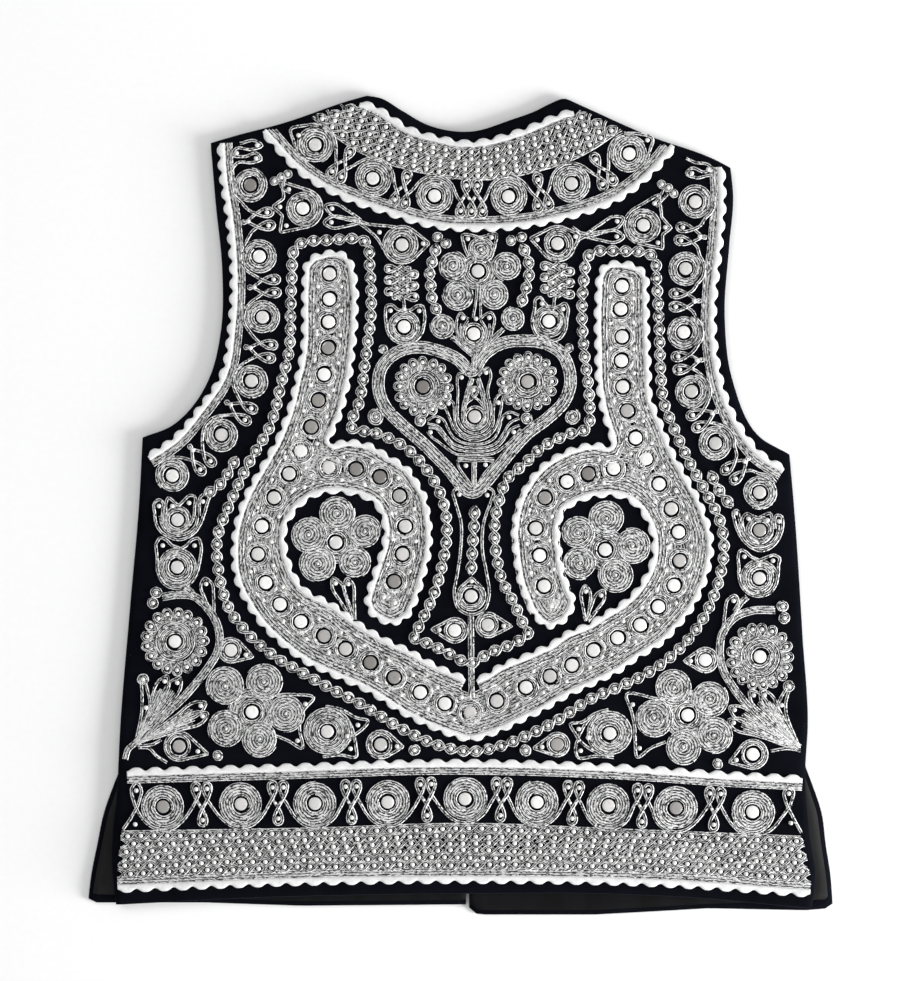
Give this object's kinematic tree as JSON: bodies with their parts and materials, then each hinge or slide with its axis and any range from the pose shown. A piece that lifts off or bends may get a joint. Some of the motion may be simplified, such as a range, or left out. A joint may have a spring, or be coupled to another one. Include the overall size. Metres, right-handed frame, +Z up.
{
  "type": "embroidered folk vest",
  "caption": "Sleeveless velvet vest laid face down, its back covered in couched cord, coiled rosettes and scalloped braid.",
  "frame": {"origin": "middle of the outline, on the surface that the vest lies on", "axes": "+Z up out of the vest's back, +Y from its hem towards its neck, +X towards the wearer's right"},
  "size_m": [0.5736, 0.6306, 0.0101],
  "materials": {
    "velvet": "matte",
    "facing": "matte",
    "braid": "matte",
    "cord": "satin",
    "mirror": "gloss"
  },
  "bodies": {
    "root": {"axis_mirror": "cord", "back_panel": "velvet", "bird_left": "cord", "bird_right": "cord", "braid_armhole_left": "braid", "braid_armhole_right": "braid", "braid_hem_low": "braid", "braid_hem_top": "braid", "braid_neck": "braid", "braid_yoke": "braid", "chain": "cord", "cords_armhole_left": "cord", "cords_armhole_right": "cord", "cords_hem_top": "cord", "cords_yoke": "cord", "corner_flower_left": "cord", "corner_flower_right": "cord", "facing_left": "facing", "facing_right": "facing", "fish_left": "cord", "fish_right": "cord", "flower_left": "cord", "flower_right": "cord", "front_left": "velvet", "front_right": "velvet", "heart": "cord", "heart_flower_left": "cord", "heart_flower_right": "cord", "heart_vase": "cord", "leaf_left": "cord", "leaf_right": "cord", "low_drop_left": "cord", "low_drop_right": "cord", "neck_drop_left": "cord", "neck_drop_right": "cord", "neck_flower": "cord", "neck_tulip_left": "cord", "neck_tulip_right": "cord", "neck_vase": "cord", "net_hem": "cord", "net_neck": "cord", "paisley_left": "cord", "paisley_right": "cord", "paisley_tip_left": "cord", "paisley_tip_right": "cord", "rosettes_armhole_left": "cord", "rosettes_armhole_right": "cord", "rosettes_hem": "cord", "rosettes_yoke": "cord", "side_drop_left": "cord", "side_drop_right": "cord", "side_flower_left": "cord", "side_flower_right": "cord", "side_tulip_left_1": "cord", "side_tulip_left_2": "cord", "side_tulip_right_1": "cord", "side_tulip_right_2": "cord"}
  },
  "joints": []
}
